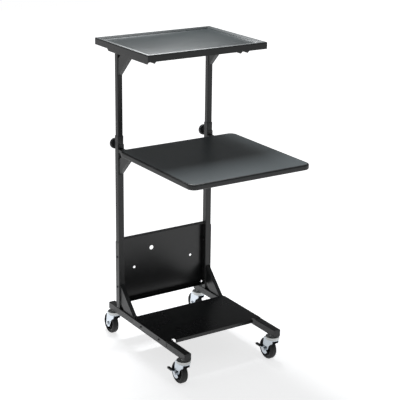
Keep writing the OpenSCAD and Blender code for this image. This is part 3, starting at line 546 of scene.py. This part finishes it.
def knob_face(side):
    def build(shape):
        low, high = corners("clamp_knob_" + side)
        centre = Vector(((low.x + high.x) / 2, high.y, (low.z + high.z) / 2))
        ring(shape, centre, "Y", knob_ring_radius, knob_ring_thick)
        loops = []
        for i in range(knob_cap_steps + 1):
            lift = math.pi / 2 * i / knob_cap_steps
            reach = knob_cap_radius * math.cos(lift * knob_cap_closing)
            middle = centre + axes["Y"] * (knob_cap_rise * math.sin(lift) - knob_cap_sink)
            loops.append(circle(shape, middle, axes["X"], axes["Z"], reach, knob_cap_sides))
        join_rings(shape, loops)
    return build


for side in ("left", "right"):
    add_piece("knob_face_" + side, knob_face(side), plastic, "knob_" + side)


# Black fasteners: steel bolts and nuts through the posts and back panel, and the shelves' screws.
# They are blackened, and have a slight gloss.
black_steel = Material("black_fastener")
black_grain = black_steel.place.noise(scale=3000.0)
black_steel.set(
    Base_Color=black_grain.blend((0.02, 0.021, 0.022), (0.035, 0.036, 0.037)),
    Roughness=black_grain.between(0.3, 0.4),
    Normal=black_grain.bump(strength=0.1, distance=0.0001),
)
black_steel.on("panel_bolts", "panel_nuts", "bottom_shelf_screws", "shelf_screws")


# Drives of these fasteners: hexagonal sockets in the panel's bolts, and crosses in the screws
# of the bottom shelf. Each is a thin dark plate of painted shade, for the deep shade in its
# recess.
drive_height = 0.00015
socket_radius = 0.0017
cross_arm = 0.0021
cross_width = 0.0006

drive_painted_shade = Material("drive_recess_painted_shade")
drive_shade_grain = drive_painted_shade.place.noise(scale=4000.0)
drive_painted_shade.set(
    # Base colour: painted shade, near black, standing for the shade deep inside each drive.
    Base_Color=drive_shade_grain.blend((0.002, 0.002, 0.002), (0.006, 0.006, 0.006)),
    Roughness=drive_shade_grain.between(0.6, 0.7),
    Normal=drive_shade_grain.bump(strength=0.1, distance=0.0001),
)


def plate(shape, outline, x, outward):
    """A thin plate on a face that looks along X, from an outline in (Y, Z)."""
    inner = [shape.verts.new((x - outward * drive_height, y, z)) for y, z in outline]
    outer = [shape.verts.new((x + outward * drive_height, y, z)) for y, z in outline]
    join_rings(shape, [inner, outer])


def hexagon(y, z):
    turns = [math.pi * k / 3 for k in range(6)]
    return [(y + socket_radius * math.cos(t), z + socket_radius * math.sin(t)) for t in turns]


def cross(y, z):
    arm, width = cross_arm, cross_width
    points = []
    for k in range(4):
        c, s = math.cos(math.pi * k / 2), math.sin(math.pi * k / 2)
        for a, b in ((width, -width), (arm, -width), (arm, width)):
            points.append((y + a * c - b * s, z + a * s + b * c))
    return points


def bolt_rows(low, high):
    """The middles of a lower and an upper head, which a node's box just holds."""
    y, half = (low.y + high.y) / 2, (high.y - low.y) / 2
    return [(y, low.z + half), (y, high.z - half)]


def screw_rows(low, high):
    """The middles of a front and a rear head, which a node's box just holds."""
    z, half = (low.z + high.z) / 2, (high.z - low.z) / 2
    return [(low.y + half, z), (high.y - half, z)]


def drives(node, outline, rows):
    def build(shape):
        low, high = corners(node)
        for x, outward in ((low.x, -1), (high.x, 1)):
            for y, z in rows(low, high):
                plate(shape, outline(y, z), x, outward)
    return build


bolt_drives = drives("panel_bolts", hexagon, bolt_rows)
screw_drives = drives("bottom_shelf_screws", cross, screw_rows)
# These plates carry painted shade for the drives' recesses, not a real dark finish.
add_piece("panel_bolt_socket_shade", bolt_drives, drive_painted_shade, "base_frame")
add_piece("shelf_screw_cross_shade", screw_drives, drive_painted_shade, "base_frame")


# Bright fasteners: zinc-plated steel nuts of the tray and casters, knob studs and axles.
# The caster nuts are welded inside the legs, the tray's nuts sit on its weld studs, each knob
# is moulded round its stud, and each axle is a bolt through the fork with a nut.
zinc = Material("bright_zinc")
zinc_grain = zinc.place.noise(scale=1800.0)
zinc.set(
    Base_Color=zinc_grain.blend((0.50, 0.53, 0.56), (0.64, 0.67, 0.70)),
    Roughness=zinc_grain.between(0.25, 0.40),
    Metallic=1.0,
    Normal=zinc_grain.bump(strength=0.08, distance=0.0001),
)
zinc.on(
    "stem_nuts", "tray_nuts", "knob_stud_left", "knob_stud_right",
    "axle_front_left", "axle_front_right", "axle_rear_left", "axle_rear_right",
)


# Caster forks: pressed from steel sheet and plated with bluish zinc, each under a ring of balls.
# The front edge of each fork side is rolled into a smooth lip, from the crown to the axle's eye.
lip_centre_y, lip_centre_z = -0.028, 0.0335
lip_sweep = 0.0369
lip_radius = 0.0009
lip_half_gap = 0.0130
lip_steps = 20
lip_first_turn, lip_last_turn = math.radians(71), math.radians(10)

fork = Material("fork_zinc")
spangle = fork.place.noise(scale=260.0, detail=3.0)
fork.set(
    Base_Color=spangle.blend((0.50, 0.55, 0.60), (0.68, 0.73, 0.78)),
    Roughness=spangle.between(0.16, 0.30),
    Metallic=1.0,
    Normal=spangle.bump(strength=0.06, distance=0.0002),
)
fork.on("fork_front_left", "fork_front_right", "fork_rear_left", "fork_rear_right")


def wire(shape, points, radius):
    """A smooth round wire along points that lie in a plane across X."""
    loops = []
    for i, point in enumerate(points):
        along = (points[min(i + 1, len(points) - 1)] - points[max(i - 1, 0)]).normalized()
        loops.append(circle(shape, point, axes["X"], along.cross(axes["X"]), radius))
    join_rings(shape, loops)


def fork_lips(corner):
    def build(shape):
        low, high = corners("fork_" + corner)
        middle_x = (low.x + high.x) / 2
        stem_y = low.y + (high.x - low.x) / 2
        for side in (-1, 1):
            points = []
            for i in range(lip_steps + 1):
                turn = lip_first_turn + (lip_last_turn - lip_first_turn) * i / lip_steps
                y = stem_y + lip_centre_y + lip_sweep * math.cos(turn)
                z = lip_centre_z + lip_sweep * math.sin(turn)
                points.append(Vector((middle_x + side * lip_half_gap, y, z)))
            wire(shape, points, lip_radius)
    return build


for corner in ("front_left", "front_right", "rear_left", "rear_right"):
    add_piece("fork_lips_" + corner, fork_lips(corner), fork, "caster_" + corner)


# Caster stems and balls: steel, with a duller zinc under a film of grease.
# Each stem is screwed into a leg and carries the race that the balls run in.
race = Material("race_zinc")
race_grain = race.place.noise(scale=500.0)
race.set(
    Base_Color=race_grain.blend((0.42, 0.43, 0.42), (0.62, 0.64, 0.64)),
    Roughness=race_grain.between(0.28, 0.48),
    Metallic=1.0,
    Normal=race_grain.bump(strength=0.08, distance=0.0002),
)
race.on("caster_stems", "swivel_balls")


# Wheels: a hard black plastic core on the axle's sleeve, with a black rubber tyre round it.
# Rings are moulded on both sidewalls of each tyre, and ribs on both faces of each core's web.
sidewall_rings = ((0.0312, 0.0006), (0.0292, 0.0004))
rib_count = 8
rib_inner, rib_outer = 0.0095, 0.0262
rib_height, rib_width = 0.0075, 0.0014
rib_outer_share = 0.8
rib_crest_share = 0.6

core = Material("wheel_core_plastic")
core_grain = core.place.noise(scale=1500.0)
core.set(
    Base_Color=core_grain.blend((0.014, 0.015, 0.016), (0.026, 0.027, 0.028)),
    Roughness=core_grain.between(0.34, 0.46),
    Normal=core_grain.bump(strength=0.12, distance=0.0002),
)
core.on("wheel_front_left", "wheel_front_right", "wheel_rear_left", "wheel_rear_right")

rubber = Material("tyre_rubber")
rubber_grain = rubber.place.noise(scale=1200.0, detail=3.0)
rubber.set(
    Base_Color=rubber_grain.blend((0.010, 0.010, 0.011), (0.018, 0.018, 0.019)),
    Roughness=rubber_grain.between(0.5, 0.7),
    Normal=rubber_grain.bump(strength=0.2, distance=0.0003),
)
rubber.on("tyre_front_left", "tyre_front_right", "tyre_rear_left", "tyre_rear_right")


def tyre_rings(tyre):
    def build(shape):
        low, high = corners(tyre)
        middle = (low + high) / 2
        for x in (low.x, high.x):
            for radius, thick in sidewall_rings:
                ring(shape, Vector((x, middle.y, middle.z)), "X", radius, thick)
    return build


def core_ribs(tyre):
    """Ribs through the web, lower at the rim and narrower towards the +X side."""
    foot, crest = rib_width / 2, rib_width / 2 * rib_crest_share
    rib_ends = ((rib_inner, rib_height), (rib_outer, rib_height * rib_outer_share))

    def build(shape):
        low, high = corners(tyre)
        middle = (low + high) / 2
        for k in range(rib_count):
            turn = 2 * math.pi * (k + 0.5) / rib_count
            out = Vector((0, math.cos(turn), math.sin(turn)))
            across = Vector((0, -math.sin(turn), math.cos(turn)))
            ends = []
            for reach, height in rib_ends:
                spot = middle + out * reach
                section = ((-foot, -height), (foot, -height), (crest, height), (-crest, height))
                ends.append([
                    shape.verts.new(spot + across * wide + axes["X"] * tall)
                    for wide, tall in section
                ])
            join_rings(shape, ends)
    return build


for corner in ("front_left", "front_right", "rear_left", "rear_right"):
    add_piece("tyre_rings_" + corner, tyre_rings("tyre_" + corner), rubber, "roller_" + corner)
    add_piece("core_ribs_" + corner, core_ribs("tyre_" + corner), core, "roller_" + corner)


# Brake levers: stamped steel with the forks' zinc, tilting about the axle of each front wheel.
# The pedal is a black plastic cover moulded over the lever's end, with grip ridges across it.
ridge_count = 5
ridge_start = 0.005
ridge_step = 0.0036
ridge_radius = 0.00045
ridge_inset = 0.0018

pedal = Material("lever_coat")
pedal_grain = pedal.place.noise(scale=1500.0)
pedal.set(
    Base_Color=pedal_grain.blend((0.016, 0.017, 0.018), (0.028, 0.029, 0.030)),
    Roughness=pedal_grain.between(0.32, 0.44),
    Normal=pedal_grain.bump(strength=0.15, distance=0.0002),
)
pedal.on("brake_pedal_left", "brake_pedal_right")
fork.on("brake_lever_left", "brake_lever_right")


def pedal_ridges(side):
    def build(shape):
        low, high = corners("brake_pedal_" + side)
        x0, x1 = low.x + ridge_inset, high.x - ridge_inset
        for k in range(ridge_count):
            y = high.y - ridge_start - k * ridge_step
            start, end = (x0, y, high.z), (x1, y, high.z)
            bead(shape, start, end, ridge_radius, pitch=ridge_radius, ripple=0.0)
    return build


for side in ("left", "right"):
    add_piece("pedal_ridges_" + side, pedal_ridges(side), pedal, "brake_" + side)


# Pressure pads: small nylon discs ahead of the clamp studs, which press on the upper posts.
# The nylon keeps its natural off-white.
nylon = Material("natural_nylon")
nylon_grain = nylon.place.noise(scale=900.0)
nylon.set(
    Base_Color=nylon_grain.blend((0.74, 0.72, 0.66), (0.82, 0.80, 0.75)),
    Roughness=nylon_grain.between(0.4, 0.5),
    Normal=nylon_grain.bump(strength=0.1, distance=0.0002),
)
nylon.on("pressure_pad_left", "pressure_pad_right")
